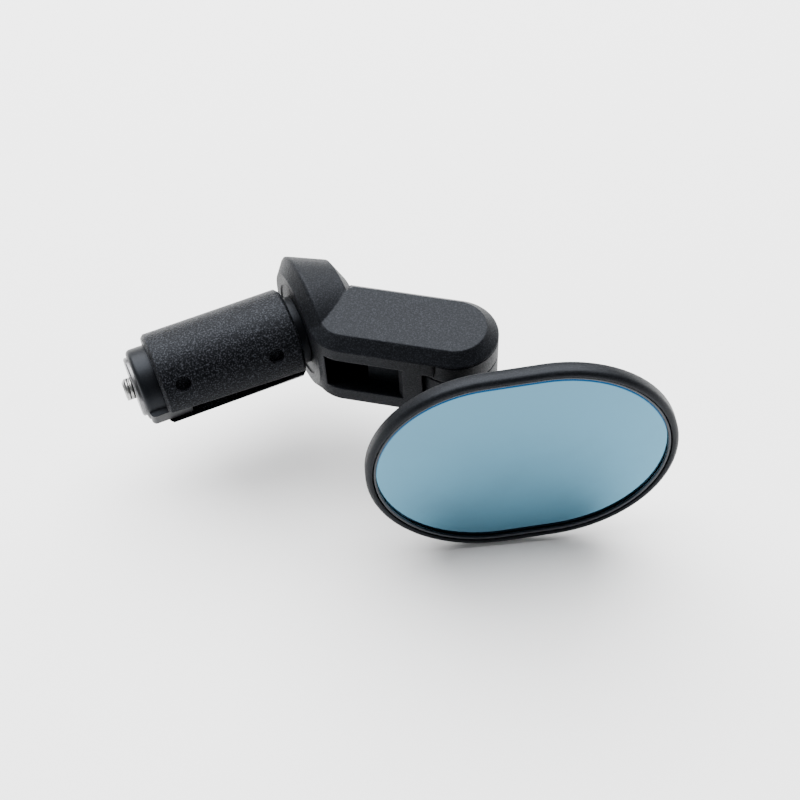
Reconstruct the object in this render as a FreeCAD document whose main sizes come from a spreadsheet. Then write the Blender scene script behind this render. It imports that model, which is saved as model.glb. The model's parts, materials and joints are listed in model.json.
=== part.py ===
import FreeCAD, Part
import math
import os
import Sketcher

# Bar-end mirror for a bicycle: an expander plug that fits inside a handlebar end,
# an arm with a round cap and a folding knuckle, and a mirror head on a ball joint.
# Row frame: origin on the plug's axis at the cap's bar-side face, +X out of the bar,
# +Z square to the arm's flat top. Millimetres and degrees.

os.makedirs("parts", exist_ok=True)
doc = FreeCAD.newDocument("BarEndMirror")

dims = {
    # expander plug, all on the X axis
    "sleeve_rad": 9.5,
    "sleeve_gap": 1.7,
    "sleeve_len": 29.3,
    "sleeve_bore": 5.7,
    "taper_clear": 0.12,
    "fit_gap": 0.05,
    "cone_nose": 1.5,
    "inner_mouth": 6.9,
    "inner_taper": 8.5,
    "neck_rad": 7.2,
    "sleeve_edge": 0.6,
    "slot_angle": 198.0,
    "slot_wide": 5.9,
    "slot_narrow": 1.6,
    "dimple_rad": 1.6,
    "dimple_deep": 1.4,
    "dimple_outer": 26.6,
    "outer_angle": 146.6,
    "dimple_inner": 7.3,
    "inner_angle": 152.7,
    "collar_rad": 7.5,
    "collar_len": 3.9,
    "collar_round": 1.0,
    "cone_len": 9.5,
    "cone_tip": 5.45,
    "key_wide": 4.2,
    "key_rad": 8.35,
    "key_reach": 4.5,
    "key_round": 1.0,
    "nut_rad": 6.2,
    "nut_proud": 0.8,
    "nut_deep": 1.6,
    "nut_square": 4.3,
    "nut_boss": 3.2,
    "bolt_rad": 2.5,
    "bolt_hole": 2.75,
    "bolt_reach": 37.6,
    "thread_clear": 0.05,
    "tip_cut": 0.6,
    "head_rad": 4.25,
    "head_cut": 0.4,
    "head_len": 5.0,
    "hex_rad": 2.31,
    "hex_deep": 2.6,
    "washer_rad": 4.5,
    "washer_thick": 1.0,
    "washer_gap": 0.15,
    "spring_thick": 0.35,
    # round cap at the bar end of the arm
    "cap_face": 12.2,
    "cap_rad": 15.2,
    "cap_chamfer": 2.2,
    "cap_cone_end": 10.1,
    "cap_cone_rad": 11.9,
    "cap_out": 12.2,
    "cap_out_rad": 7.7,
    "cap_round": 0.6,
    "stop_rad": 9.8,
    "stop_deep": 0.3,
    "head_bore": 4.7,
    "head_seat": 6.0,
    # arm, along U at arm_angle below +X seen from above, V is square to it
    "arm_angle": 36.3,
    "pivot_along": 33.6,
    "arm_shift": 2.5,
    "arm_half": 8.8,
    "arm_top": 11.4,
    "arm_bottom": 8.6,
    "arm_chamfer": 2.4,
    "arm_corner": 7.5,
    "rear_start": 10.4,
    "window_top": 6.1,
    "window_low": 2.9,
    "window_end": 23.8,
    "window_step": 16.8,
    "window_shallow": 3.9,
    "window_deep": 6.8,
    "disc_wall": 0.9,
    # folding pivot at the arm's end, along Z
    "disc_slot": 9.1,
    "swing_slot": 10.0,
    "disc_slot_top": 8.95,
    "swing_slot_top": 5.6,
    "swing_slot_low": 5.2,
    "hub_rad": 4.0,
    "hub_low": 6.2,
    "pin_rad": 1.5,
    "pin_clear": 0.06,
    "pin_head": 2.8,
    "pin_head_len": 1.7,
    "pin_recess": 1.9,
    "pin_hex_rad": 1.155,
    "pin_hex_deep": 1.1,
    "insert_rad": 2.3,
    "insert_low": 6.5,
    "insert_top": 10.3,
    "knuckle_rad": 8.8,
    "knuckle_top": 8.8,
    "knuckle_low": 4.5,
    "knuckle_split": 4.5,
    "groove_wide": 0.4,
    "groove_deep": 0.5,
    "hub_pocket": 4.3,
    "hub_floor": 5.6,
    "fold_angle": -108.73,
    "boss_rad": 3.6,
    "boss_end": 9.7,
    # ball joint
    "ball_out": 16.5,
    "ball_level": 0.4,
    "ball_rad": 3.9,
    "stud_rad": 2.0,
    "stud_bore": 2.06,
    "stud_root": 4.4,
    "stud_floor": 4.1,
    "flange_rad": 3.1,
    "flange_len": 0.85,
    "neck_thin": 1.6,
    "ball_clear": 0.05,
    "liner_rad": 4.6,
    "socket_rad": 4.65,
    "liner_open": -2.7,
    "liner_split": 0.12,
    # mirror head, in its own frame: x along the head, y up, z out of the glass,
    # origin at the ball's centre
    "head_yaw": -18.36,
    "head_roll": 4.99,
    "head_tilt": 4.23,
    "glass_x": 9.95,
    "glass_y": -3.5,
    "half_straight": 5.3,
    "glass_open": 22.9,
    "glass_rad": 23.5,
    "glass_front": 8.0,
    "glass_thick": 1.5,
    "glass_sphere": 1200.0,
    "rim_rad": 25.0,
    "rim_front": 8.85,
    "rim_back": 6.0,
    "rib_top": 5.9,
    "rim_round": 1.05,
    "ledge_rad": 21.8,
    "rim_pocket": 23.6,
    "ring_rad": 23.4,
    "ring_low": 7.85,
    "ring_top": 8.55,
    "shell_rad": 24.5,
    "shell_edge": 5.6,
    "shell_back": 1.2,
    "shell_back_rad": 18.5,
    "shell_wall": 1.3,
    "base_rad": 11.5,
    "base_back": -1.0,
    "base_edge": 0.8,
    "collar_out": 6.6,
    "collar_back": -2.9,
    "flare_rad": 4.3,
    "plate_rad": 10.8,
    "plate_thick": 1.2,
    "dome_wall": 0.95,
    "screw_circle": 8.3,
    "screw_rad": 1.0,
    "screw_head": 1.9,
    "screw_head_len": 1.1,
    "screw_len": 3.8,
    "cross_wide": 0.5,
    "cross_deep": 0.5,
    "pad_rad": 21.2,
    "pad_hole": 6.6,
    "rib_wide": 1.2,
}

sheet = doc.addObject("Spreadsheet::Sheet", "Dims")
for row, (alias, value) in enumerate(dims.items(), start=1):
    sheet.set("A%d" % row, str(value))
    sheet.setAlias("A%d" % row, alias)
doc.recompute()

SCREW_COUNT = 3
UP = FreeCAD.Vector(0, 0, 1)
# where a turn starts before its expression gives it the real angle
START_TURN = FreeCAD.Rotation(UP, 45)


def bind(text):
    """An expression in sheet names: $name stands for the sheet's cell."""
    return text.replace("$", "Dims.")


def newBody(label):
    body = doc.addObject("PartDesign::Body", label)
    body.Label = label
    return body


def newSketch(body, plane, level="0", turn=None):
    """A sketch on one of the body's own planes, raised by level and turned in the plane."""
    sketch = body.newObject("Sketcher::SketchObject", body.Name + "_sketch")
    role = [item for item in body.Origin.OriginFeatures if item.Role == plane][0]
    sketch.AttachmentSupport = [(role, "")]
    sketch.MapMode = "FlatFace"
    if turn is not None:
        sketch.AttachmentOffset = FreeCAD.Placement(FreeCAD.Vector(), START_TURN)
        sketch.setExpression("AttachmentOffset.Rotation.Angle", bind("(%s) * 1 deg" % turn))
    if level != "0":
        sketch.setExpression("AttachmentOffset.Base.z", bind(level))
    return sketch


def place(sketch, geometry, point, x, y):
    """Holds one point of the sketch at x, y."""
    for kind, text in (("DistanceX", x), ("DistanceY", y)):
        here = sketch.getPoint(geometry, point)
        now = here.x if kind == "DistanceX" else here.y
        index = sketch.addConstraint(Sketcher.Constraint(kind, -1, 1, geometry, point, now))
        sketch.setExpression("Constraints[%d]" % index, bind(text))


def polygon(sketch, corners):
    """A closed outline of straight lines through the corners."""
    count = len(corners)
    turn = FreeCAD.Rotation(FreeCAD.Vector(0, 0, 1), 360.0 / count)
    start = FreeCAD.Vector(10, 3, 0)
    first = sketch.GeometryCount
    for step in range(count):
        end = turn.multVec(start)
        sketch.addGeometry(Part.LineSegment(start, end), False)
        start = end
    for step in range(count):
        after = first + (step + 1) % count
        sketch.addConstraint(Sketcher.Constraint("Coincident", first + step, 2, after, 1))
    for step, (x, y) in enumerate(corners):
        place(sketch, first + step, 1, x, y)


def circle(sketch, x, y, radius):
    index = sketch.GeometryCount
    sketch.addGeometry(Part.Circle(FreeCAD.Vector(1, 1, 0), FreeCAD.Vector(0, 0, 1), 5), False)
    size = sketch.addConstraint(Sketcher.Constraint("Radius", index, 5))
    sketch.setExpression("Constraints[%d]" % size, bind(radius))
    place(sketch, index, 3, x, y)


def stadium(sketch, radius):
    """The mirror's outline: two half circles joined by straight sides."""
    half = dims["half_straight"]
    lower = Part.LineSegment(FreeCAD.Vector(-half, -20, 0), FreeCAD.Vector(half, -20, 0))
    upper = Part.LineSegment(FreeCAD.Vector(half, 20, 0), FreeCAD.Vector(-half, 20, 0))
    right = Part.Circle(FreeCAD.Vector(half, 0, 0), UP, 20)
    left = Part.Circle(FreeCAD.Vector(-half, 0, 0), UP, 20)
    turn = math.pi / 2
    sketch.addGeometry(lower, False)
    sketch.addGeometry(Part.ArcOfCircle(right, -turn, turn), False)
    sketch.addGeometry(upper, False)
    sketch.addGeometry(Part.ArcOfCircle(left, turn, 3 * turn), False)
    for this, after in ((0, 1), (1, 2), (2, 3), (3, 0)):
        sketch.addConstraint(Sketcher.Constraint("Tangent", this, 2, after, 1))
    sketch.addConstraint(Sketcher.Constraint("Horizontal", 0))
    sketch.addConstraint(Sketcher.Constraint("Horizontal", 2))
    size = sketch.addConstraint(Sketcher.Constraint("Radius", 1, 20))
    sketch.setExpression("Constraints[%d]" % size, bind(radius))
    place(sketch, 1, 3, "$glass_x + $half_straight", "$glass_y")
    across = Sketcher.Constraint("DistanceX", 3, 3, 1, 3, 2 * half)
    index = sketch.addConstraint(across)
    sketch.setExpression("Constraints[%d]" % index, bind("2 * $half_straight"))


def feature(body, kind, sketch, **settings):
    """Adds one sketch-based feature, with settings given as expressions or plain values."""
    made = body.newObject("PartDesign::" + kind, body.Name + "_" + kind)
    made.Profile = sketch
    for name, value in settings.items():
        if isinstance(value, str) and name in ("Length", "Size", "Radius"):
            made.setExpression(name, bind(value))
        else:
            setattr(made, name, value)
    sketch.Visibility = False
    return made


def turned(body, corners, axis="H_Axis", plane="XY_Plane", cut=False):
    """Turns an outline of (along, radius) or (radius, height) corners about an axis."""
    sketch = newSketch(body, plane)
    polygon(sketch, corners)
    kind = "Groove" if cut else "Revolution"
    made = feature(body, kind, sketch, ReferenceAxis=(sketch, [axis]), Angle=360)
    return made


def check(before, body, name):
    """A cut that takes nothing away is a mistake."""
    doc.recompute()
    if body.Shape.Volume > before - 0.01:
        raise RuntimeError("%s takes nothing from %s" % (name, body.Label))


def cutUp(body, sketch, length, name):
    """Cuts from the sketch's plane upwards."""
    doc.recompute()
    before = body.Shape.Volume
    feature(body, "Pocket", sketch, Length=length, Reversed=True)
    check(before, body, name)


def halfDisc(sketch, start, line, radius, x):
    """A half circle closed by its diameter, which lies along the axis it is turned about."""
    size = dims["ball_rad"]
    turn = FreeCAD.Rotation(UP, start)
    middle = FreeCAD.Vector(dims["ball_out"] if line == "Horizontal" else 0, 0, 0)
    reach = turn.multVec(FreeCAD.Vector(size, 0, 0))
    whole = Part.Circle(middle, UP, size)
    begin = math.radians(start)
    sketch.addGeometry(Part.ArcOfCircle(whole, begin, begin + math.pi), False)
    sketch.addGeometry(Part.LineSegment(middle - reach, middle + reach), False)
    sketch.addConstraint(Sketcher.Constraint("Coincident", 0, 2, 1, 1))
    sketch.addConstraint(Sketcher.Constraint("Coincident", 0, 1, 1, 2))
    sketch.addConstraint(Sketcher.Constraint("PointOnObject", 0, 3, 1))
    index = sketch.addConstraint(Sketcher.Constraint("Radius", 0, size))
    sketch.setExpression("Constraints[%d]" % index, bind(radius))
    sketch.addConstraint(Sketcher.Constraint(line, 1))
    place(sketch, 0, 3, x, "0")


def ballSeat(body):
    """Spherical hollow for the liners, centred on the body's origin."""
    doc.recompute()
    before = body.Shape.Volume
    seat = newSketch(body, "XZ_Plane")
    halfDisc(seat, -90, "Vertical", "$socket_rad", "0")
    feature(body, "Groove", seat, ReferenceAxis=(seat, ["V_Axis"]), Angle=360)
    check(before, body, "ball seat")


def hexagon(sketch, radius):
    """A hexagon about the sketch's origin, with its corners at the radius."""
    corners = []
    for step in range(6):
        angle = "%d deg" % (60 * step)
        corners.append((radius + " * cos(%s)" % angle, radius + " * sin(%s)" % angle))
    polygon(sketch, corners)


def edgesAt(shape, test):
    """Names of the edges whose middle passes the test."""
    names = []
    for index, edge in enumerate(shape.Edges, start=1):
        middle = edge.valueAt((edge.FirstParameter + edge.LastParameter) / 2)
        if test(edge, middle):
            names.append("Edge%d" % index)
    return names


def radial(point):
    """Distance from the plug's axis."""
    return (point.y ** 2 + point.z ** 2) ** 0.5


def dress(body, kind, names, size):
    """A fillet or chamfer on the named edges of the body's last feature."""
    base = body.Tip
    made = body.newObject("PartDesign::" + kind, body.Name + "_" + kind)
    made.Base = (base, names)
    made.setExpression("Size" if kind == "Chamfer" else "Radius", bind(size))
    doc.recompute()
    return made


def setPlace(body, x="0", y="0", z="0", turn=None):
    """Puts a body at x, y, z, turned about Z."""
    if turn is not None:
        body.Placement.Rotation = START_TURN
        body.setExpression("Placement.Rotation.Angle", bind("(%s) * 1 deg" % turn))
    for name, text in (("x", x), ("y", y), ("z", z)):
        if text != "0":
            body.setExpression("Placement.Base." + name, bind(text))


PIVOT_X = "$pivot_along * cos($arm_angle * 1 deg) - $arm_shift * sin($arm_angle * 1 deg)"
PIVOT_Y = "-$pivot_along * sin($arm_angle * 1 deg) - $arm_shift * cos($arm_angle * 1 deg)"


def atPivot(body, turn=None, level="0"):
    setPlace(body, PIVOT_X, PIVOT_Y, level, turn)


# ---------------------------------------------------------------- expander plug

def expanderSleeve():
    """Split sleeve that the two cones spread inside the bar."""
    body = newBody("expander_sleeve")
    near = "-$sleeve_gap"
    far = "-$sleeve_gap - $sleeve_len"
    turned(body, [
        (near, "$inner_mouth"),
        (near, "$sleeve_rad - $sleeve_edge"),
        ("-$sleeve_gap - $sleeve_edge", "$sleeve_rad"),
        (far + " + $sleeve_edge", "$sleeve_rad"),
        (far, "$sleeve_rad - $sleeve_edge"),
        (far, "$collar_rad + $taper_clear"),
        (far + " + $cone_len", "$sleeve_bore"),
        ("-$sleeve_gap - $inner_taper", "$sleeve_bore"),
    ])
    # the slot narrows towards the cap, drawn in a plane under the sleeve and cut outwards
    sketch = newSketch(body, "XY_Plane")
    polygon(sketch, [
        ("-$sleeve_gap + 1", "$slot_narrow / 2"),
        (far + " - 1", "$slot_wide / 2"),
        (far + " - 1", "-$slot_wide / 2"),
        ("-$sleeve_gap + 1", "-$slot_narrow / 2"),
    ])
    rolled = FreeCAD.Rotation(FreeCAD.Vector(1, 0, 0), 45)
    sketch.AttachmentOffset = FreeCAD.Placement(FreeCAD.Vector(), rolled)
    sketch.setExpression("AttachmentOffset.Rotation.Angle", bind("($slot_angle - 90) * 1 deg"))
    cutUp(body, sketch, "$sleeve_rad + 2", "slot")
    for along, angle in (("$dimple_outer", "$outer_angle"), ("$dimple_inner", "$inner_angle")):
        for side in ("0", "180"):
            dimple = newSketch(body, "XY_Plane")
            circle(dimple, "-(%s)" % along, "0", "$dimple_rad")
            dimple.AttachmentOffset = FreeCAD.Placement(FreeCAD.Vector(0, 0, 1), rolled)
            leaned = "(%s - 90 + %s) * 1 deg" % (angle, side)
            dimple.setExpression("AttachmentOffset.Rotation.Angle", bind(leaned))
            rise = "($sleeve_rad - $dimple_deep) * "
            turn = "(%s + %s) * 1 deg" % (angle, side)
            dimple.setExpression("AttachmentOffset.Base.y", bind(rise + "cos(%s)" % turn))
            dimple.setExpression("AttachmentOffset.Base.z", bind(rise + "sin(%s)" % turn))
            cutUp(body, dimple, "$dimple_deep + 2", "dimple")
    return body


def innerCone():
    """Fixed wedge with the neck between the sleeve and the cap."""
    body = newBody("inner_cone")
    turned(body, [
        ("$stop_deep - $fit_gap", "$bolt_hole"),
        ("$stop_deep - $fit_gap", "$neck_rad"),
        ("-$sleeve_gap", "$neck_rad"),
        ("-$sleeve_gap", "$inner_mouth - $taper_clear"),
        ("-$sleeve_gap - $inner_taper", "$sleeve_bore - $taper_clear"),
        ("-$sleeve_gap - $inner_taper - $cone_nose", "$sleeve_bore - $sleeve_edge"),
        ("-$sleeve_gap - $inner_taper - $cone_nose", "$bolt_hole"),
    ])
    return body


def endCone():
    """Wedge at the far end, pulled into the sleeve by the bolt. Its key rides in the slot."""
    body = newBody("end_cone")
    mouth = "-$sleeve_gap - $sleeve_len"
    face = mouth + " - $collar_len"
    turned(body, [
        (face, "$nut_rad + $fit_gap"),
        (face, "$collar_rad"),
        (mouth, "$collar_rad"),
        (mouth + " + $cone_len", "$cone_tip"),
        (mouth + " + $cone_len", "$bolt_hole"),
        (face + " + $nut_deep", "$bolt_hole"),
        (face + " + $nut_deep", "$nut_rad + $fit_gap"),
    ])
    doc.recompute()
    end = -dims["sleeve_gap"] - dims["sleeve_len"] - dims["collar_len"]
    outside = dims["collar_rad"] - 0.05
    rims = edgesAt(body.Shape, lambda edge, mid: abs(mid.x - end) < 0.01 and radial(mid) > outside)
    dress(body, "Fillet", rims, "$collar_round")
    key = newSketch(body, "YZ_Plane", face + " + 0.4", turn="$slot_angle")
    polygon(key, [
        ("$collar_rad - 0.9", "-$key_wide / 2"),
        ("$key_rad", "-$key_wide / 2"),
        ("$key_rad", "$key_wide / 2"),
        ("$collar_rad - 0.9", "$key_wide / 2"),
    ])
    feature(body, "Pad", key, Length="$collar_len + $key_reach")
    doc.recompute()
    start = edgesAt(body.Shape, lambda edge, mid: abs(mid.x - end - 0.4) < 0.01
                    and radial(mid) > dims["key_rad"] - 0.1)
    dress(body, "Fillet", start, "$key_round")
    pocket = newSketch(body, "YZ_Plane", face)
    half = "$nut_square + $fit_gap"
    polygon(pocket, [
        (half, half), ("-(%s)" % half, half),
        ("-(%s)" % half, "-(%s)" % half), (half, "-(%s)" % half),
    ])
    cutUp(body, pocket, "$nut_deep + $nut_boss", "nut pocket")
    return body


def coneNut():
    """Steel nut: a round flange let into the end cone, with a square boss behind it."""
    body = newBody("cone_nut")
    face = "-$sleeve_gap - $sleeve_len - $collar_len"
    turned(body, [
        (face + " - $nut_proud", "$bolt_rad + $thread_clear"),
        (face + " - $nut_proud", "$nut_rad - 0.3"),
        (face + " - $nut_proud + 0.3", "$nut_rad"),
        (face + " + $nut_deep", "$nut_rad"),
        (face + " + $nut_deep", "$bolt_rad + $thread_clear"),
    ])
    boss = newSketch(body, "YZ_Plane", face + " + $nut_deep - 0.1")
    polygon(boss, [
        ("$nut_square", "$nut_square"), ("-$nut_square", "$nut_square"),
        ("-$nut_square", "-$nut_square"), ("$nut_square", "-$nut_square"),
    ])
    circle(boss, "0", "0", "$bolt_rad + $thread_clear")
    feature(body, "Pad", boss, Length="$nut_boss")
    return body


def expanderBolt():
    """Socket-head bolt through cap, cones and nut."""
    body = newBody("expander_bolt")
    seat = "$head_seat + $washer_thick"
    turned(body, [
        ("-$bolt_reach", "0"),
        ("-$bolt_reach", "$bolt_rad - $tip_cut"),
        ("-$bolt_reach + $tip_cut", "$bolt_rad"),
        (seat, "$bolt_rad"),
        (seat, "$head_rad"),
        (seat + " + $head_len - $head_cut", "$head_rad"),
        (seat + " + $head_len", "$head_rad - $head_cut"),
        (seat + " + $head_len", "0"),
    ])
    socket = newSketch(body, "YZ_Plane", seat + " + $head_len - $hex_deep")
    hexagon(socket, "$hex_rad")
    cutUp(body, socket, "$hex_deep + 1", "hex socket")
    return body


def boltWasher():
    body = newBody("bolt_washer")
    turned(body, [
        ("$head_seat", "$bolt_rad + $washer_gap"),
        ("$head_seat", "$washer_rad"),
        ("$head_seat + $washer_thick", "$washer_rad"),
        ("$head_seat + $washer_thick", "$bolt_rad + $washer_gap"),
    ])
    return body


# ---------------------------------------------------------------- arm and folding pivot

def armFrame():
    """Cap, arm and clevis in one moulding."""
    body = newBody("arm_frame")
    low = "-$arm_bottom"
    outline = newSketch(body, "XY_Plane", low, turn="-$arm_angle")
    front = "-$arm_shift - $arm_half"
    rear = "-$arm_shift + $arm_half"
    # the bar-side face x = 0 crosses the arm's front and rear lines at these places
    tilt = " * tan($arm_angle * 1 deg)"
    polygon(outline, [
        ("-(%s)" % front + tilt, front),
        ("$pivot_along", front),
        ("$pivot_along", rear),
        ("$rear_start", rear),
        ("4" + tilt, "-4"),
    ])
    feature(body, "Pad", outline, Length="$arm_top + $arm_bottom")
    end = newSketch(body, "XY_Plane", low, turn="-$arm_angle")
    circle(end, "$pivot_along", "-$arm_shift", "$arm_half")
    feature(body, "Pad", end, Length="$arm_top + $arm_bottom")
    doc.recompute()
    corner = edgesAt(body.Shape, lambda edge, mid: abs(mid.x) < 0.01 and mid.y < -13)
    dress(body, "Fillet", corner, "$arm_corner")
    top = dims["arm_top"]
    floor = -dims["arm_bottom"]
    rims = edgesAt(body.Shape, lambda edge, mid: mid.z > top - 0.01 or mid.z < floor + 0.01)
    dress(body, "Chamfer", rims, "$arm_chamfer")
    turned(body, [
        ("0", "0"),
        ("0", "$cap_face"),
        ("$cap_chamfer - $cap_round * 0.56", "$cap_rad - $cap_round * 0.83"),
        ("$cap_chamfer + $cap_round * 0.2", "$cap_rad - $cap_round * 0.2"),
        ("$cap_chamfer + $cap_round * 0.92", "$cap_rad - $cap_round * 0.39"),
        ("$cap_cone_end", "$cap_cone_rad"),
        ("$cap_out", "$cap_out_rad"),
        ("$cap_out", "0"),
    ])
    doc.recompute()
    # relief inside the ring that stops the bar, the bolt's hole and the seat for its head
    before = body.Shape.Volume
    turned(body, [
        ("-1", "0"),
        ("-1", "$stop_rad"),
        ("$stop_deep", "$stop_rad"),
        ("$stop_deep", "$bolt_hole"),
        ("$head_seat", "$bolt_hole"),
        ("$head_seat", "$head_bore"),
        ("26", "$head_bore"),
        ("26", "0"),
    ], cut=True)
    check(before, body, "bolt seat")
    window(body)
    clevis(body)
    return body


def window(body):
    """Moulded hollow that opens on the arm's front side, deep near the cap."""
    hollow = newSketch(body, "XY_Plane", "-$window_low", turn="-$arm_angle")
    front = "-$arm_shift - $arm_half"
    shallow = front + " + $window_shallow"
    deep = front + " + $window_deep"
    # the wall beside the bar face keeps the cap's disc whole: x = disc_wall there
    start = "($disc_wall - (%s) * sin($arm_angle * 1 deg)) / cos($arm_angle * 1 deg)"
    polygon(hollow, [
        (start % (front + " - 4"), front + " - 4"),
        ("$window_end + 1.2", front + " - 4"),
        ("$window_end + 1.2", front),
        ("$window_end", front + " + 1.2"),
        ("$window_end", shallow),
        ("$window_step", shallow),
        ("$window_step", deep),
        (start % deep, deep),
    ])
    cutUp(body, hollow, "$window_low + $window_top", "window")


def clevis(body):
    """Round slots that take the knuckle, a hub on the upper lug, and the pivot's holes."""
    slot = newSketch(body, "XY_Plane", "-$swing_slot_low", turn="-$arm_angle")
    circle(slot, "$pivot_along", "-$arm_shift", "$swing_slot")
    cutUp(body, slot, "$swing_slot_low + $swing_slot_top", "swing slot")
    upper = newSketch(body, "XY_Plane", "$swing_slot_top - 0.1", turn="-$arm_angle")
    circle(upper, "$pivot_along", "-$arm_shift", "$disc_slot")
    cutUp(body, upper, "$hub_low - $swing_slot_top + 0.1", "disc slot below the hub")
    ring = newSketch(body, "XY_Plane", "$hub_low - 0.1", turn="-$arm_angle")
    circle(ring, "$pivot_along", "-$arm_shift", "$disc_slot")
    circle(ring, "$pivot_along", "-$arm_shift", "$hub_rad")
    cutUp(body, ring, "$disc_slot_top - $hub_low + 0.1", "disc slot round the hub")
    hole = newSketch(body, "XY_Plane", "$hub_low - 1", turn="-$arm_angle")
    circle(hole, "$pivot_along", "-$arm_shift", "$insert_rad")
    cutUp(body, hole, "$insert_top - $hub_low + 1", "insert hole")
    through = newSketch(body, "XY_Plane", "-$arm_bottom - 1", turn="-$arm_angle")
    circle(through, "$pivot_along", "-$arm_shift", "$pin_rad + $pin_clear")
    cutUp(body, through, "$arm_bottom - $swing_slot_low + 2", "screw hole")
    recess = newSketch(body, "XY_Plane", "-$arm_bottom - 1", turn="-$arm_angle")
    circle(recess, "$pivot_along", "-$arm_shift", "$pin_head + 0.2")
    cutUp(body, recess, "$pin_recess + 1", "head recess")


def threadInsert():
    """Brass insert in the upper lug's hub."""
    body = newBody("thread_insert")
    turned(body, [
        ("$pin_rad + 0.02", "$insert_low"),
        ("$insert_rad", "$insert_low"),
        ("$insert_rad", "$insert_top"),
        ("$pin_rad + 0.02", "$insert_top"),
    ], axis="V_Axis", plane="XZ_Plane")
    atPivot(body)
    return body


def pivotScrew():
    """Screw from below, head let into the lower lug, threaded into the insert."""
    body = newBody("pivot_screw")
    seat = "-$arm_bottom + $pin_recess"
    turned(body, [
        ("0", seat + " - $pin_head_len"),
        ("$pin_head - $tip_cut", seat + " - $pin_head_len"),
        ("$pin_head", seat + " - $pin_head_len + $tip_cut"),
        ("$pin_head", seat),
        ("$pin_rad", seat),
        ("$pin_rad", "$insert_top - 0.5"),
        ("$pin_rad - 0.3", "$insert_top - 0.2"),
        ("0", "$insert_top - 0.2"),
    ], axis="V_Axis", plane="XZ_Plane")
    socket = newSketch(body, "XY_Plane", seat + " - $pin_head_len - 0.5")
    hexagon(socket, "$pin_hex_rad")
    cutUp(body, socket, "$pin_hex_deep + 0.5", "driver socket")
    atPivot(body)
    return body


def thrustWasher():
    """Nylon washer between the hub and the knuckle."""
    body = newBody("thrust_washer")
    turned(body, [
        ("$pin_rad + $washer_gap", "$hub_floor"),
        ("$hub_rad - 0.1", "$hub_floor"),
        ("$hub_rad - 0.1", "$hub_low"),
        ("$pin_rad + $washer_gap", "$hub_low"),
    ], axis="V_Axis", plane="XZ_Plane")
    atPivot(body)
    return body


def discSpring():
    """Coned spring washer on the lower lug that sets the fold's friction."""
    body = newBody("disc_spring")
    low = "-$swing_slot_low"
    high = "-$knuckle_low"
    turned(body, [
        ("$hub_rad", low),
        ("$hub_rad", low + " + $spring_thick"),
        ("$pin_rad + 0.7", high),
        ("$pin_rad + $washer_gap", high),
        ("$pin_rad + $washer_gap", high + " - $spring_thick"),
        ("$hub_rad - 0.6", low),
    ], axis="V_Axis", plane="XZ_Plane")
    atPivot(body)
    return body


def knuckle():
    """Turns about the pivot and carries the ball stud. Local +X points at the mirror."""
    body = newBody("knuckle")
    bore = "$pin_rad + $pin_clear"
    turned(body, [
        (bore, "-$knuckle_low"),
        ("$knuckle_rad - 0.3", "-$knuckle_low"),
        ("$knuckle_rad", "-$knuckle_low + 0.3"),
        ("$knuckle_rad", "$knuckle_split - $groove_wide"),
        ("$knuckle_rad - $groove_deep", "$knuckle_split - $groove_wide"),
        ("$knuckle_rad - $groove_deep", "$knuckle_split"),
        ("$knuckle_rad", "$knuckle_split"),
        ("$knuckle_rad", "$knuckle_top - 0.2"),
        ("$knuckle_rad - 0.2", "$knuckle_top"),
        ("$hub_pocket", "$knuckle_top"),
        ("$hub_pocket", "$hub_floor"),
        (bore, "$hub_floor"),
    ], axis="V_Axis", plane="XZ_Plane")
    boss = newSketch(body, "YZ_Plane", "$stud_floor")
    circle(boss, "0", "$ball_level", "$boss_rad")
    feature(body, "Pad", boss, Length="$boss_end - $stud_floor")
    hole = newSketch(body, "YZ_Plane", "$stud_floor")
    circle(hole, "0", "$ball_level", "$stud_bore")
    cutUp(body, hole, "$boss_end - $stud_floor + 1", "stud bore")
    atPivot(body, "$fold_angle")
    return body


# ---------------------------------------------------------------- ball joint

def ballStud():
    """Steel stud with a ball on its end. Local +X points at the mirror."""
    body = newBody("ball_stud")
    flange = "$boss_end + $fit_gap"
    turned(body, [
        ("$stud_root", "0"),
        ("$stud_root", "$stud_rad"),
        (flange, "$stud_rad"),
        (flange, "$flange_rad"),
        (flange + " + $flange_len", "$flange_rad"),
        (flange + " + $flange_len", "$neck_thin"),
        ("$ball_out", "$neck_thin"),
        ("$ball_out", "0"),
    ])
    ball = newSketch(body, "XY_Plane")
    halfDisc(ball, 0, "Horizontal", "$ball_rad", "$ball_out")
    feature(body, "Revolution", ball, ReferenceAxis=(ball, ["H_Axis"]), Angle=360)
    atPivot(body, "$fold_angle", "$ball_level")
    return body


def headPlacement():
    """Frame of the mirror head: origin at the ball's centre, z out of the glass."""
    level = dims["ball_level"]
    along = FreeCAD.Rotation(FreeCAD.Vector(0, 0, 1), dims["fold_angle"])
    reach = along.multVec(FreeCAD.Vector(dims["ball_out"], 0, 0))
    arm = FreeCAD.Rotation(FreeCAD.Vector(0, 0, 1), -dims["arm_angle"])
    pivot = arm.multVec(FreeCAD.Vector(dims["pivot_along"], -dims["arm_shift"], 0))
    yaw = FreeCAD.Rotation(FreeCAD.Vector(0, 0, 1), dims["head_yaw"])
    roll = FreeCAD.Rotation(FreeCAD.Vector(0, 1, 0), -dims["head_roll"])
    tilt = FreeCAD.Rotation(FreeCAD.Vector(1, 0, 0), 90.0 - dims["head_tilt"])
    centre = pivot.add(reach).add(FreeCAD.Vector(0, 0, level))
    return FreeCAD.Placement(centre, yaw.multiply(roll).multiply(tilt))


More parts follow.
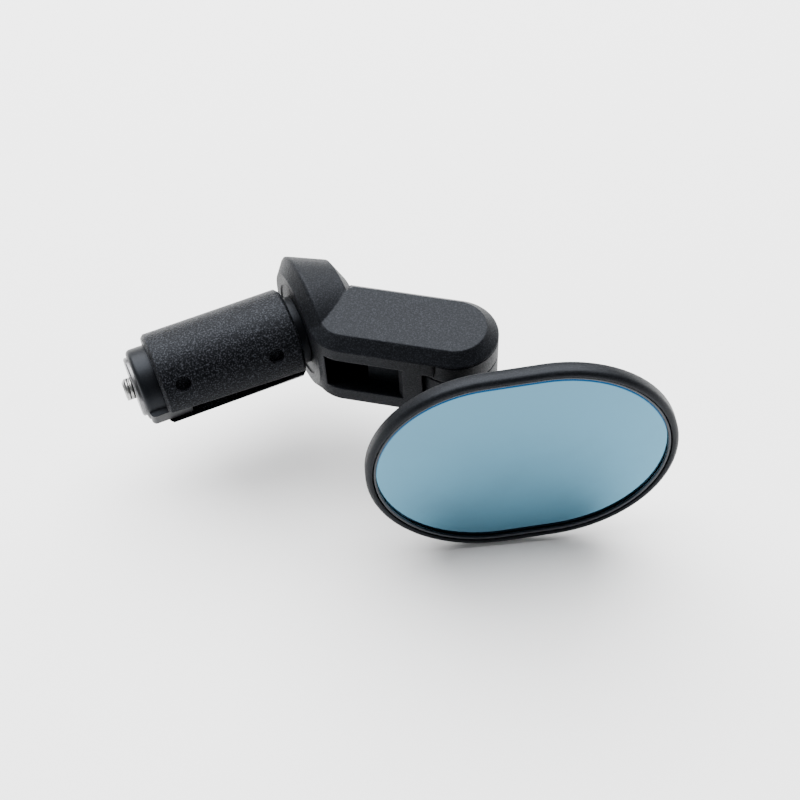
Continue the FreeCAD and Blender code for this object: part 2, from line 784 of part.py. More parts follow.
def shellPart(label, lower, upper, level):
    """A Part::Feature: the zone of a spherical liner between two heights."""
    inner = dims["ball_rad"] + dims["ball_clear"]
    outer = dims["liner_rad"]
    full = Part.makeSphere(outer).cut(Part.makeSphere(inner))
    band = Part.makeCylinder(outer + 1, upper - lower, FreeCAD.Vector(0, 0, lower))
    item = doc.addObject("Part::Feature", label)
    item.Label = label
    item.Shape = full.common(band)
    item.Placement = level
    return item


def liners():
    """Two nylon half shells between the ball and its socket."""
    frame = headPlacement()
    split = dims["liner_split"]
    rear = shellPart("rear_liner", dims["liner_open"], -split, frame)
    front = shellPart("front_liner", split, dims["liner_rad"] + 0.5, frame)
    return [rear, front]


# ---------------------------------------------------------------- mirror head

def loftBetween(body, kind, low, lowRadius, high, highRadius):
    """A stadium-shaped loft between two heights."""
    first = newSketch(body, "XY_Plane", low)
    stadium(first, lowRadius)
    second = newSketch(body, "XY_Plane", high)
    stadium(second, highRadius)
    made = body.newObject("PartDesign::" + kind, body.Name + "_" + kind)
    made.Profile = first
    made.Sections = [second]
    made.Ruled = True
    return made


def stadiumPad(body, low, radius, length, inner=None):
    sketch = newSketch(body, "XY_Plane", low)
    stadium(sketch, radius)
    made = feature(body, "Pad", sketch, Length=length)
    if inner is not None:
        opening = newSketch(body, "XY_Plane", low)
        stadium(opening, inner)
        cutUp(body, opening, length, "inner outline")
    return made


def backHousing():
    """Shallow dished shell with the ball's socket in its back."""
    body = newBody("back_housing")
    loftBetween(body, "AdditiveLoft", "$shell_back", "$shell_back_rad", "$shell_edge", "$shell_rad")
    stadiumPad(body, "$shell_edge", "$shell_rad", "$rim_back - $shell_edge")
    turned(body, [
        ("0", "$collar_back"),
        ("$collar_out - $base_edge", "$collar_back"),
        ("$collar_out", "$collar_back + $base_edge"),
        ("$collar_out", "$base_back"),
        ("$base_rad - $base_edge", "$base_back"),
        ("$base_rad", "$base_back + $base_edge"),
        ("$base_rad", "$shell_back + 0.6"),
        ("0", "$shell_back + 0.6"),
    ], axis="V_Axis", plane="XZ_Plane")
    doc.recompute()
    before = body.Shape.Volume
    loftBetween(body, "SubtractiveLoft", "$shell_back + $shell_wall", "$shell_back_rad - 1",
                "$rim_back", "$shell_rad - $shell_wall - 0.4")
    check(before, body, "inside")
    ribs(body)
    socket(body)
    return body


def ribs(body):
    """Two long ribs and two cross ribs that stiffen the shell and carry the glass's pad."""
    base = "$shell_back + $shell_wall - 0.2"
    for level in ("$glass_y - 15", "$glass_y - 6"):
        rib = newSketch(body, "XY_Plane", base)
        left = "$glass_x - 12"
        right = "$glass_x + 16"
        polygon(rib, [
            (left, level), (right, level),
            (right, level + " + $rib_wide"), (left, level + " + $rib_wide"),
        ])
        feature(body, "Pad", rib, Length="$rib_top - $shell_back - $shell_wall + 0.2")
    for place_x in ("$glass_x + 4", "$glass_x + 15"):
        rib = newSketch(body, "XY_Plane", base)
        polygon(rib, [
            (place_x, "$glass_y - 14"), (place_x + " + $rib_wide", "$glass_y - 14"),
            (place_x + " + $rib_wide", "$glass_y + 14"), (place_x, "$glass_y + 14"),
        ])
        feature(body, "Pad", rib, Length="$rib_top - $shell_back - $shell_wall + 0.2")


def screwPlaces():
    """Centres of the plate's screws, as expressions."""
    places = []
    for step in range(SCREW_COUNT):
        angle = "%d deg" % (90 + 360 * step // SCREW_COUNT)
        places.append(("$screw_circle * cos(%s)" % angle, "$screw_circle * sin(%s)" % angle))
    return places


def socket(body):
    """Spherical seat, flared mouth and the screws' pilot holes."""
    doc.recompute()
    before = body.Shape.Volume
    turned(body, [
        ("0", "$collar_back - 1"),
        ("$flare_rad + 0.6", "$collar_back - 1"),
        ("$flare_rad - 0.65", "$collar_back + 0.3"),
        ("0", "$collar_back + 0.3"),
    ], axis="V_Axis", plane="XZ_Plane", cut=True)
    check(before, body, "flare")
    ballSeat(body)
    clear = newSketch(body, "XY_Plane", "$shell_back + $shell_wall")
    circle(clear, "0", "0", "$plate_rad + 0.2")
    cutUp(body, clear, "$rim_back", "room for the plate")
    holes = newSketch(body, "XY_Plane", "$shell_back + $shell_wall + $plate_thick - $screw_len - 0.2")
    for x, y in screwPlaces():
        circle(holes, x, y, "$screw_rad")
    cutUp(body, holes, "$screw_len + 1", "pilot holes")


def socketPlate():
    """Domed plate that closes the socket from the glass side."""
    body = newBody("socket_plate")
    floor = "$shell_back + $shell_wall"
    turned(body, [
        ("0", floor),
        ("$plate_rad - 0.3", floor),
        ("$plate_rad", floor + " + 0.3"),
        ("$plate_rad", floor + " + $plate_thick"),
        ("$socket_rad + 0.6", floor + " + $plate_thick"),
        ("$socket_rad - 0.7", "$socket_rad"),
        ("2.2", "$socket_rad + $dome_wall"),
        ("0", "$socket_rad + $dome_wall"),
    ], axis="V_Axis", plane="XZ_Plane")
    ballSeat(body)
    holes = newSketch(body, "XY_Plane", floor + " - 1")
    for x, y in screwPlaces():
        circle(holes, x, y, "$screw_rad + 0.1")
    cutUp(body, holes, "4", "screw holes")
    return body


def plateScrews():
    """Three self-tapping screws that hold the plate, one node of separate solids."""
    solids = []
    seat = dims["shell_back"] + dims["shell_wall"] + dims["plate_thick"]
    reach = dims["screw_len"] - 0.1
    for step in range(SCREW_COUNT):
        turn = FreeCAD.Rotation(FreeCAD.Vector(0, 0, 1), 90 + 360.0 * step / SCREW_COUNT)
        middle = turn.multVec(FreeCAD.Vector(dims["screw_circle"], 0, 0))
        shank = Part.makeCylinder(dims["screw_rad"] - 0.03, reach + 0.2,
                                  middle + FreeCAD.Vector(0, 0, seat - reach))
        head = Part.makeCylinder(dims["screw_head"], dims["screw_head_len"],
                                 middle + FreeCAD.Vector(0, 0, seat))
        wide = dims["cross_wide"]
        long = 2 * dims["screw_head"] + 0.2
        level = seat + dims["screw_head_len"] - dims["cross_deep"]
        slot = Part.makeBox(wide, long, 1, middle + FreeCAD.Vector(-wide / 2, -long / 2, level))
        cross = Part.makeBox(long, wide, 1, middle + FreeCAD.Vector(-long / 2, -wide / 2, level))
        solids.append(shank.fuse(head).cut(slot).cut(cross))
    item = doc.addObject("Part::Feature", "plate_screws")
    item.Label = "plate_screws"
    item.Shape = Part.makeCompound(solids)
    return item


def frontBezel():
    """Rim of the mirror head: a rounded ring with a ledge behind the glass."""
    body = newBody("front_bezel")
    stadiumPad(body, "$rim_back", "$rim_rad", "$rim_front - $rim_back")
    front = dims["rim_front"]
    doc.recompute()
    outer = edgesAt(body.Shape, lambda edge, mid: mid.z > front - 0.01)
    dress(body, "Fillet", outer, "$rim_round")
    pocket = newSketch(body, "XY_Plane", "$glass_front - $glass_thick")
    stadium(pocket, "$rim_pocket")
    cutUp(body, pocket, "$rim_front", "glass pocket")
    opening = newSketch(body, "XY_Plane", "$rim_back - 1")
    stadium(opening, "$ledge_rad")
    cutUp(body, opening, "$rim_front", "opening")
    return body


def glassRing():
    """Thin ring that holds the glass in the rim."""
    body = newBody("glass_ring")
    stadiumPad(body, "$ring_low", "$ring_rad", "$ring_top - $ring_low", inner="$glass_open")
    return body


def mirrorGlass():
    """Slightly convex mirror: a stadium-shaped plate met with a large ball."""
    body = newBody("mirror_blank")
    stadiumPad(body, "$glass_front - $glass_thick", "$glass_rad", "$glass_thick")
    ball = doc.addObject("Part::Sphere", "glass_curve")
    ball.setExpression("Radius", bind("$glass_sphere"))
    ball.setExpression("Placement.Base.x", bind("$glass_x"))
    ball.setExpression("Placement.Base.y", bind("$glass_y"))
    ball.setExpression("Placement.Base.z", bind("$glass_front - $glass_sphere"))
    both = doc.addObject("Part::Common", "mirror_glass")
    both.Base = body
    both.Tool = ball
    both.Label = "mirror_glass"
    return both


def glassPad():
    """Foam sheet between the housing's ribs and the glass, cut out over the dome."""
    body = newBody("glass_pad")
    stadiumPad(body, "$rib_top", "$pad_rad", "$glass_front - $glass_thick - $rib_top")
    hole = newSketch(body, "XY_Plane", "$rib_top - 1")
    circle(hole, "0", "0", "$pad_hole")
    cutUp(body, hole, "4", "hole over the dome")
    return body


pieces = [
    expanderSleeve(), innerCone(), endCone(), coneNut(), expanderBolt(), boltWasher(),
    armFrame(), threadInsert(), pivotScrew(), thrustWasher(), discSpring(), knuckle(),
    ballStud(),
]
pieces.extend(liners())
onHead = [
    backHousing(), socketPlate(), plateScrews(), frontBezel(), glassRing(), mirrorGlass(),
    glassPad(),
]
doc.recompute()
for item in onHead:
    item.Placement = headPlacement()
pieces.extend(onHead)
doc.recompute()

for item in doc.Objects:
    if "Invalid" in item.State or "Error" in item.State:
        raise RuntimeError("%s did not rebuild: %s" % (item.Label, item.State))
for item in pieces:
    if item.Shape.isNull() or not item.Shape.isValid():
        raise RuntimeError("%s has no valid shape" % item.Label)
for item in pieces:
    item.Shape.exportStep(os.path.join("parts", item.Label + ".step"))
    solids = len(item.Shape.Solids)
    print("%-16s %8.1f mm3 %d solid(s)" % (item.Label, item.Shape.Volume, solids))
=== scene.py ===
import json
import math

import bpy
from mathutils import Matrix, Vector


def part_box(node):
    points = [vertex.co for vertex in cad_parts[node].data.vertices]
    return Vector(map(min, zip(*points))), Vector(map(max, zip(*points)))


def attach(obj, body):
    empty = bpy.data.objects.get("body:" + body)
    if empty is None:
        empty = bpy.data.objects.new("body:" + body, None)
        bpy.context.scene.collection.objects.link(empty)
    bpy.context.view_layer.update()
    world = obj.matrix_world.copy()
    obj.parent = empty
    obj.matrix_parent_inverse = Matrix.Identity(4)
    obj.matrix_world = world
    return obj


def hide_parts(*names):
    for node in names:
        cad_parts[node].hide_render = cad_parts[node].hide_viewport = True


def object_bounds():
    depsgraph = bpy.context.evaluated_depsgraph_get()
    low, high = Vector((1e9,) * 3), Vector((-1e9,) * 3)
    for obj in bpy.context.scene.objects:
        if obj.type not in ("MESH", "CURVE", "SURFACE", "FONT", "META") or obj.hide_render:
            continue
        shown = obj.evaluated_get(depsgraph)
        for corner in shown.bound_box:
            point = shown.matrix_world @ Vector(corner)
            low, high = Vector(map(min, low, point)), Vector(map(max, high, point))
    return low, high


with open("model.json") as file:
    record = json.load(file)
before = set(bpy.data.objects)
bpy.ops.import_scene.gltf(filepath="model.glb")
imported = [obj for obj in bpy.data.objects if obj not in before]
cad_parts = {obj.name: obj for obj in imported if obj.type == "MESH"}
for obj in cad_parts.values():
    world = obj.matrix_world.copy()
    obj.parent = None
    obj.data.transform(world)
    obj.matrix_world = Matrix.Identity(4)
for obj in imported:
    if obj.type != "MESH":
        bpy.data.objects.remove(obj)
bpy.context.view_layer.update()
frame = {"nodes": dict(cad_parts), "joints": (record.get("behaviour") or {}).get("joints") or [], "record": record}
mm = 0.001
joints = {joint["name"]: joint for joint in frame["joints"]}
print("frame loaded:", len(frame["nodes"]), "nodes")


class Signal:
    # one output socket; a sum or product on it adds a Math node
    def __init__(self, recipe, socket):
        self.recipe = recipe
        self.socket = socket

    def sum(self, operation, first, second):
        return self.recipe.add("ShaderNodeMath", {"operation": operation}, {0: first, 1: second})

    def __add__(self, other):
        return self.sum("ADD", self, other)

    def __radd__(self, other):
        return self.sum("ADD", other, self)

    def __sub__(self, other):
        return self.sum("SUBTRACT", self, other)

    def __rsub__(self, other):
        return self.sum("SUBTRACT", other, self)

    def __mul__(self, other):
        return self.sum("MULTIPLY", self, other)

    def __rmul__(self, other):
        return self.sum("MULTIPLY", other, self)


class Recipe:
    # one material and the nodes that make it
    def __init__(self, name):
        self.material = bpy.data.materials.new(name)
        self.material.use_nodes = True
        self.tree = self.material.node_tree
        self.shader = self.tree.nodes["Principled BSDF"]

    def add(self, kind, settings=None, inputs=None, output=0):
        node = self.tree.nodes.new(kind)
        for key, value in (settings or {}).items():
            if key == "stops":
                for stop, (place, shade) in zip(node.color_ramp.elements, value):
                    stop.position = place
                    stop.color = (shade, shade, shade, 1)
            else:
                setattr(node, key, value)
        for key, value in (inputs or {}).items():
            if isinstance(value, Signal):
                self.tree.links.new(value.socket, node.inputs[key])
            else:
                node.inputs[key].default_value = value
        return Signal(self, node.outputs[output])

    def feed(self, **inputs):
        for key, value in inputs.items():
            socket = self.shader.inputs[key.replace("_", " ")]
            if isinstance(value, Signal):
                self.tree.links.new(value.socket, socket)
            else:
                socket.default_value = value

    def place(self):
        return self.add("ShaderNodeTexCoord", output="Object")

    def noise(self, size, detail=2.0, roughness=0.5, where=None, output="Fac"):
        inputs = {"Vector": where or self.place(), "Scale": 1 / size, "Detail": detail,
                  "Roughness": roughness}
        return self.add("ShaderNodeTexNoise", None, inputs, output)

    def ramp(self, signal, low, high, dark=0.0, light=1.0):
        stops = [(low, dark), (high, light)]
        return self.add("ShaderNodeValToRGB", {"stops": stops}, {"Fac": signal})

    def blend(self, amount, first, second, kind="MIX"):
        inputs = {"Factor": amount, 6: (*first, 1) if isinstance(first, tuple) else first,
                  7: (*second, 1) if isinstance(second, tuple) else second}
        return self.add("ShaderNodeMix", {"data_type": "RGBA", "blend_type": kind}, inputs, 2)

    def softEdges(self, radius):
        return self.add("ShaderNodeBevel", {"samples": 6}, {"Radius": radius})

    def edgeMask(self, radius, gain):
        # 1 on an edge, 0 on the flats
        rounded = self.softEdges(radius)
        straight = self.add("ShaderNodeNewGeometry", output="Normal")
        turned = self.add("ShaderNodeVectorMath", {"operation": "DOT_PRODUCT"},
                          {0: rounded, 1: straight}, "Value")
        return self.add("ShaderNodeClamp", None, {"Value": (1 - turned) * gain})

    def bump(self, height, depth, strength=1.0, normal=None):
        inputs = {"Height": height, "Distance": depth, "Strength": strength}
        if normal:
            inputs["Normal"] = normal
        return self.add("ShaderNodeBump", None, inputs)


def grainedPlastic(name, look):
    shared = {"dustSize": 0.8, "wearAndHighlightBand": 1.6, "wearAndHighlightMix": 0.35, "dustHeight": 0.4,
              "cloudRough": 0.06, "wearPolish": 0.08, "sheen": (0.80, 0.87, 1.0, 1)}
    recipe = Recipe(name)
    cloud = recipe.noise(look["cloudSize"], 3)
    pits = recipe.noise(look["grainSize"], 2, 0.6)
    dust = recipe.noise(look["grainSize"] * shared["dustSize"], 1)
    # the edge mask lightens each edge toward the pale fleck tone: partly edge wear and partly a painted edge
    # highlight
    wearAndHighlight = recipe.edgeMask(look["edge"] * shared["wearAndHighlightBand"], look["wearAndHighlightGain"])
    tint = recipe.blend(recipe.ramp(cloud, 0.35, 0.65), look["dark"], look["light"])
    speck = recipe.ramp(dust, 0.50, 0.66) * look["speck"]
    tint = recipe.blend(speck + wearAndHighlight * shared["wearAndHighlightMix"], tint, look["fleckWearAndHighlight"])
    height = pits + dust * shared["dustHeight"]
    normal = recipe.bump(height, look["grainDepth"], 1.0, recipe.softEdges(look["edge"]))
    rough = (look["rough"] + (pits - 0.5) * look["roughSwing"] + cloud * shared["cloudRough"]
             - wearAndHighlight * shared["wearPolish"])
    recipe.feed(Base_Color=tint, Roughness=rough, Normal=normal)
    recipe.feed(Specular_IOR_Level=look["shine"], Specular_Tint=shared["sheen"])
    return recipe.material


def armPlastic():
    return grainedPlastic("armPlastic", {
        "dark": (0.0010, 0.0012, 0.0016), "light": (0.0018, 0.0021, 0.0027),
        "fleckWearAndHighlight": (0.0260, 0.0280, 0.0340), "cloudSize": 9 * mm, "grainSize": 0.30 * mm,
        "grainDepth": 0.055 * mm, "edge": 0.42 * mm, "wearAndHighlightGain": 2.0, "speck": 0.36,
        "rough": 0.50, "roughSwing": 0.50, "shine": 0.12,
    })


def sleevePlastic():
    return grainedPlastic("sleevePlastic", {
        "dark": (0.0006, 0.0007, 0.0010), "light": (0.0012, 0.0014, 0.0018),
        "fleckWearAndHighlight": (0.0440, 0.0465, 0.0550), "cloudSize": 6 * mm, "grainSize": 0.38 * mm,
        "grainDepth": 0.13 * mm, "edge": 0.30 * mm, "wearAndHighlightGain": 1.0, "speck": 0.50,
        "rough": 0.40, "roughSwing": 0.60, "shine": 0.085,
    })


def conePlastic():
    return grainedPlastic("conePlastic", {
        "dark": (0.0010, 0.0012, 0.0016), "light": (0.0018, 0.0020, 0.0026),
        "fleckWearAndHighlight": (0.0150, 0.0165, 0.0200), "cloudSize": 5 * mm, "grainSize": 0.24 * mm,
        "grainDepth": 0.014 * mm, "edge": 0.25 * mm, "wearAndHighlightGain": 2.0, "speck": 0.12,
        "rough": 0.40, "roughSwing": 0.20, "shine": 0.16,
    })


def headPlastic():
    return grainedPlastic("headPlastic", {
        "dark": (0.0010, 0.0012, 0.0016), "light": (0.0018, 0.0021, 0.0027),
        "fleckWearAndHighlight": (0.0170, 0.0185, 0.0225), "cloudSize": 11 * mm, "grainSize": 0.26 * mm,
        "grainDepth": 0.030 * mm, "edge": 0.24 * mm, "wearAndHighlightGain": 2.0, "speck": 0.35,
        "rough": 0.43, "roughSwing": 0.36, "shine": 0.13,
    })


def platePlastic():
    return grainedPlastic("platePlastic", {
        "dark": (0.050, 0.050, 0.052), "light": (0.062, 0.062, 0.064),
        "fleckWearAndHighlight": (0.12, 0.12, 0.12), "cloudSize": 5 * mm, "grainSize": 0.3 * mm,
        "grainDepth": 0.010 * mm, "edge": 0.2 * mm, "wearAndHighlightGain": 1.5, "speck": 0.05,
        "rough": 0.5, "roughSwing": 0.2, "shine": 0.45,
    })


def ringPlastic():
    return grainedPlastic("ringPlastic", {
        "dark": (0.0040, 0.0042, 0.0048), "light": (0.0060, 0.0062, 0.0070),
        "fleckWearAndHighlight": (0.02, 0.02, 0.022), "cloudSize": 6 * mm, "grainSize": 0.3 * mm,
        "grainDepth": 0.004 * mm, "edge": 0.12 * mm, "wearAndHighlightGain": 1.0, "speck": 0.02,
        "rough": 0.30, "roughSwing": 0.10, "shine": 0.50,
    })


def nylon():
    return grainedPlastic("nylon", {
        "dark": (0.60, 0.58, 0.52), "light": (0.70, 0.68, 0.62),
        "fleckWearAndHighlight": (0.78, 0.76, 0.70), "cloudSize": 3 * mm, "grainSize": 0.25 * mm,
        "grainDepth": 0.006 * mm, "edge": 0.12 * mm, "wearAndHighlightGain": 1.0, "speck": 0.10,
        "rough": 0.42, "roughSwing": 0.12, "shine": 0.50,
    })


def foam():
    look = {"cell": 0.55 * mm, "depth": 0.12 * mm, "dark": (0.010, 0.010, 0.011),
            "light": (0.035, 0.035, 0.036), "rough": 0.95}
    recipe = Recipe("padFoam")
    cells = recipe.add("ShaderNodeTexVoronoi", None,
                       {"Vector": recipe.place(), "Scale": 1 / look["cell"]}, "Distance")
    tint = recipe.blend(recipe.ramp(cells, 0.1, 0.6), look["dark"], look["light"])
    recipe.feed(Base_Color=tint, Roughness=look["rough"] - cells * 0.1,
                Normal=recipe.bump(cells, look["depth"]))
    return recipe.material


def turnedMetal(name, look):
    shared = {"scratchSize": 0.09 * mm, "wearAndHighlightEdge": 0.12 * mm, "edgeGain": 2.0,
              "edgeWearAndHighlightMix": 0.6, "softEdge": 0.08 * mm}
    recipe = Recipe(name)
    rings = recipe.add("ShaderNodeTexWave", {"wave_type": "RINGS", "rings_direction": look["axis"]},
                       {"Vector": recipe.place(), "Scale": look["rings"], "Distortion": 1.5,
                        "Detail": 2.0, "Detail Scale": 3.0}, "Fac")
    stain = recipe.noise(look["stainSize"], 4, 0.6)
    scratch = recipe.noise(shared["scratchSize"], 2)
    tint = recipe.blend(recipe.ramp(stain, 0.4, 0.7), look["bright"], look["dull"])
    # the edge mask lightens each edge toward the look's edge colour: partly edge wear and partly a painted edge
    # highlight
    wearAndHighlight = recipe.edgeMask(shared["wearAndHighlightEdge"], shared["edgeGain"])
    tint = recipe.blend(wearAndHighlight * shared["edgeWearAndHighlightMix"], tint, look["edge"])
    rough = look["rough"] + rings * 0.10 + stain * 0.12 + (scratch - 0.5) * 0.12
    height = rings + scratch * 0.5
    normal = recipe.bump(height, look["depth"], 1.0, recipe.softEdges(shared["softEdge"]))
    recipe.feed(Base_Color=tint, Metallic=1.0, Roughness=rough, Normal=normal)
    return recipe.material


def zincSteel():
    return turnedMetal("zincSteel", {
        "axis": "X", "rings": 900, "stainSize": 0.8 * mm, "bright": (0.36, 0.36, 0.355),
        "dull": (0.22, 0.22, 0.22), "edge": (0.70, 0.69, 0.67), "rough": 0.22, "depth": 0.006 * mm,
    })


def nutSteel():
    return turnedMetal("nutSteel", {
        "axis": "X", "rings": 700, "stainSize": 0.7 * mm, "bright": (0.150, 0.150, 0.155),
        "dull": (0.085, 0.085, 0.090), "edge": (0.55, 0.55, 0.55), "rough": 0.26, "depth": 0.012 * mm,
    })


def studSteel():
    return turnedMetal("studSteel", {
        "axis": "Y", "rings": 700, "stainSize": 2.0 * mm, "bright": (0.60, 0.60, 0.61),
        "dull": (0.42, 0.42, 0.43), "edge": (0.80, 0.80, 0.80), "rough": 0.14, "depth": 0.003 * mm,
    })


def springSteel():
    return turnedMetal("springSteel", {
        "axis": "Z", "rings": 800, "stainSize": 1.5 * mm, "bright": (0.28, 0.30, 0.36),
        "dull": (0.18, 0.18, 0.20), "edge": (0.50, 0.50, 0.52), "rough": 0.25, "depth": 0.003 * mm,
    })


def blackSteel():
    return turnedMetal("blackSteel", {
        "axis": "Z", "rings": 800, "stainSize": 1.2 * mm, "bright": (0.045, 0.045, 0.05),
        "dull": (0.025, 0.025, 0.027), "edge": (0.22, 0.22, 0.23), "rough": 0.30, "depth": 0.004 * mm,
    })


def brass():
    return turnedMetal("insertBrass", {
        "axis": "Z", "rings": 800, "stainSize": 1.2 * mm, "bright": (0.80, 0.58, 0.24),
        "dull": (0.60, 0.42, 0.18), "edge": (0.95, 0.78, 0.45), "rough": 0.22, "depth": 0.004 * mm,
    })


def mirrorCoat():
    # silvering behind tinted glass; the edge attribute is 1 at the cut edge, in a band painted wider on the upper
    # side as a painted edge reflection; the height attribute gives the tint a painted reflection gradient from
    # bottom to top
    look = {"top": (0.076, 0.174, 0.238), "bottom": (0.100, 0.262, 0.368),
            "smudge": (0.078, 0.180, 0.250), "edge": (0.0004, 0.0330, 0.0900),
            "smudgeSize": 14 * mm, "dustSize": 0.6 * mm, "rough": 0.035}
    recipe = Recipe("mirrorCoat")
    smudge = recipe.noise(look["smudgeSize"], 4, 0.55)
    dust = recipe.noise(look["dustSize"], 2)
    edge = recipe.add("ShaderNodeAttribute", {"attribute_name": "edge"}, output="Fac")
    height = recipe.add("ShaderNodeAttribute", {"attribute_name": "height"}, output="Fac")
    # the height attribute runs the tint from the bottom colour up to the top colour: a painted reflection gradient
    tint = recipe.blend(height, look["bottom"], look["top"])
    tint = recipe.blend(recipe.ramp(smudge, 0.45, 0.7) * 0.4, tint, look["smudge"])
    # the deep blue edge tint, painted wider on the upper side as a painted edge reflection
    tint = recipe.blend(edge, tint, look["edge"])
    rough = (look["rough"] + recipe.ramp(smudge, 0.45, 0.75) * 0.03
             + recipe.ramp(dust, 0.68, 0.8) * 0.08)
    recipe.feed(Base_Color=tint, Metallic=1.0, Roughness=rough)
    return recipe.material


def paleFloor():
    look = {"cloudSize": 120 * mm, "dark": (0.90, 0.90, 0.90), "light": (0.93, 0.93, 0.93),
            "rough": 0.85}
    recipe = Recipe("paleFloor")
    cloud = recipe.noise(look["cloudSize"], 3)
    tint = recipe.blend(cloud, look["dark"], look["light"])
    recipe.feed(Base_Color=tint, Roughness=look["rough"])
    return recipe.material


finishes = {
    "arm_plastic": armPlastic(), "knuckle_plastic": armPlastic(), "sleeve_plastic": sleevePlastic(),
    "cone_plastic": conePlastic(), "housing_plastic": headPlastic(),
    "plate_plastic": platePlastic(), "ring_plastic": ringPlastic(), "nylon": nylon(),
    "zinc_steel": zincSteel(), "stud_steel": studSteel(), "spring_steel": springSteel(),
    "black_steel": blackSteel(), "insert_brass": brass(), "mirror_coat": mirrorCoat(),
    "pad_foam": foam(),
}
finishes["bezel_plastic"] = finishes["housing_plastic"]
slotOf = {part["node"]: part["material_slot"] for part in frame["record"]["subparts"]}
own = {"cone_nut": nutSteel()}
for node, item in frame["nodes"].items():
    item.data.materials.clear()
    item.data.materials.append(own.get(node) or finishes[slotOf[node]])
print("finishes:", len(finishes))


def finishPiece(name, points, faces, node, body):
    # a new piece, in the CAD's own frame, that stands for one CAD node
    look = {"sharpAngle": 38}
    mesh = bpy.data.meshes.new(name)
    mesh.from_pydata([tuple(p) for p in points], [], faces)
    mesh.validate()
    mesh.materials.append(finishes[slotOf[node]])
    item = bpy.data.objects.new(name, mesh)
    bpy.context.scene.collection.objects.link(item)
    mesh.shade_smooth()
    mesh.set_sharp_from_angle(angle=math.radians(look["sharpAngle"]))
    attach(item, body)
    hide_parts(node)
    return item


def arc(centreA, centreB, radius, start, end, steps):
    # points of a round stretch of an outline
    turns = [math.radians(start + (end - start) * i / steps) for i in range(steps + 1)]
    return [(centreA + radius * math.cos(a), centreB + radius * math.sin(a)) for a in turns]


def softCorners(outline, radius, steps=3):
    # rounds each corner of a closed outline, by less where a side is short
    rounded = []
    count = len(outline)
    for i, corner in enumerate(outline):
        here = Vector(corner)
        before = Vector(outline[i - 1]) - here
        after = Vector(outline[(i + 1) % count]) - here
        reach = min(radius, before.length * 0.4, after.length * 0.4)
        first = here + before.normalized() * reach
        last = here + after.normalized() * reach
        for step in range(steps + 1):
            t = step / steps
            rounded.append(tuple(first * (1 - t) ** 2 + here * 2 * t * (1 - t) + last * t ** 2))
    return rounded


tiltJoint = joints["mirror_tilt"]
ballCentre = Vector(tiltJoint["pos_m"])
across = Vector(tiltJoint["axis"]).normalized()
upward = Vector(joints["mirror_pan"]["axis"]).normalized()
outward = across.cross(upward).normalized()


def headPoint(x, y, z):
    return ballCentre + across * x + upward * y + outward * z


def headExtent(node):
    # a node's outline in the head's own frame: centre, end radius, half straight, low, high
    spots = [v.co - ballCentre for v in frame["nodes"][node].data.vertices]
    xs = [s.dot(across) for s in spots]
    ys = [s.dot(upward) for s in spots]
    zs = [s.dot(outward) for s in spots]
    radius = (max(ys) - min(ys)) / 2
    return {"x": (max(xs) + min(xs)) / 2, "y": (max(ys) + min(ys)) / 2, "radius": radius,
            "straight": (max(xs) - min(xs)) / 2 - radius, "low": min(zs), "high": max(zs)}


def ovalLoop(extent, radius, height, endSteps=40, sideSteps=6):
    # points round the head's outline, half circles joined by straight sides
    loop = []
    half = extent["straight"] * min(1, radius / (extent["radius"] * 0.5))
    for side in (1, -1):
        for i in range(endSteps + 1):
            turn = math.radians(-90 + 180 * i / endSteps) + (0 if side > 0 else math.pi)
            x = side * half + radius * math.cos(turn)
            y = radius * math.sin(turn)
            loop.append((x, y))
        for i in range(1, sideSteps):
            loop.append((side * half * (1 - 2 * i / sideSteps), side * radius))
    return [headPoint(extent["x"] + x, extent["y"] + y, height) for x, y in loop]


def sweepOval(extent, outline, closed=True):
    # (radius, height) outline carried round the head
    points = []
    for radius, height in outline:
        points.extend(ovalLoop(extent, radius, height))
    count = len(points) // len(outline)
    faces = []
    rows = len(outline) if closed else len(outline) - 1
    for row in range(rows):
        low = row * count
        high = (row + 1) % len(outline) * count
        for i in range(count):
            after = (i + 1) % count
            faces.append((low + i, low + after, high + after, high + i))
    return points, faces, count


def makeBezel():
    look = {"round": 1.05 * mm, "crown": 0.10 * mm, "lipRound": 0.22 * mm,
            "partingGroove": 0.12 * mm, "inset": 0.01 * mm,
            "glassGap": 0.10 * mm, "ledgeWidth": 1.7 * mm}
    outer = headExtent("front_bezel")
    glass = headExtent("mirror_glass")
    rim = outer["radius"] - look["inset"]
    wall = glass["radius"] + look["glassGap"]
    ledge = glass["radius"] - look["ledgeWidth"]
    front = outer["high"]
    side = [(rim - look["partingGroove"], outer["low"]),
            (rim, outer["low"] + look["partingGroove"] * 1.5)]
    shoulder = arc(rim - look["round"], front - look["round"], look["round"], 8, 82, 9)
    lip = arc(wall + look["lipRound"], front - look["crown"] - look["lipRound"],
              look["lipRound"], 90, 180, 5)
    inside = [(wall, glass["low"]), (ledge, glass["low"]), (ledge, outer["low"])]
    points, faces, _ = sweepOval(outer, side + shoulder + lip + inside)
    return finishPiece("frontBezel", points, faces, "front_bezel", "head")


def makeRing():
    look = {"round": 0.16 * mm, "width": 0.50 * mm, "slope": 0.12 * mm}
    extent = headExtent("glass_ring")
    inner = extent["radius"] - look["width"]
    outline = [(extent["radius"], extent["low"]), (extent["radius"], extent["high"]),
               (inner, extent["high"] - look["slope"]), (inner, extent["low"])]
    points, faces, _ = sweepOval(extent, softCorners(outline, look["round"]))
    return finishPiece("glassRing", points, faces, "glass_ring", "head")


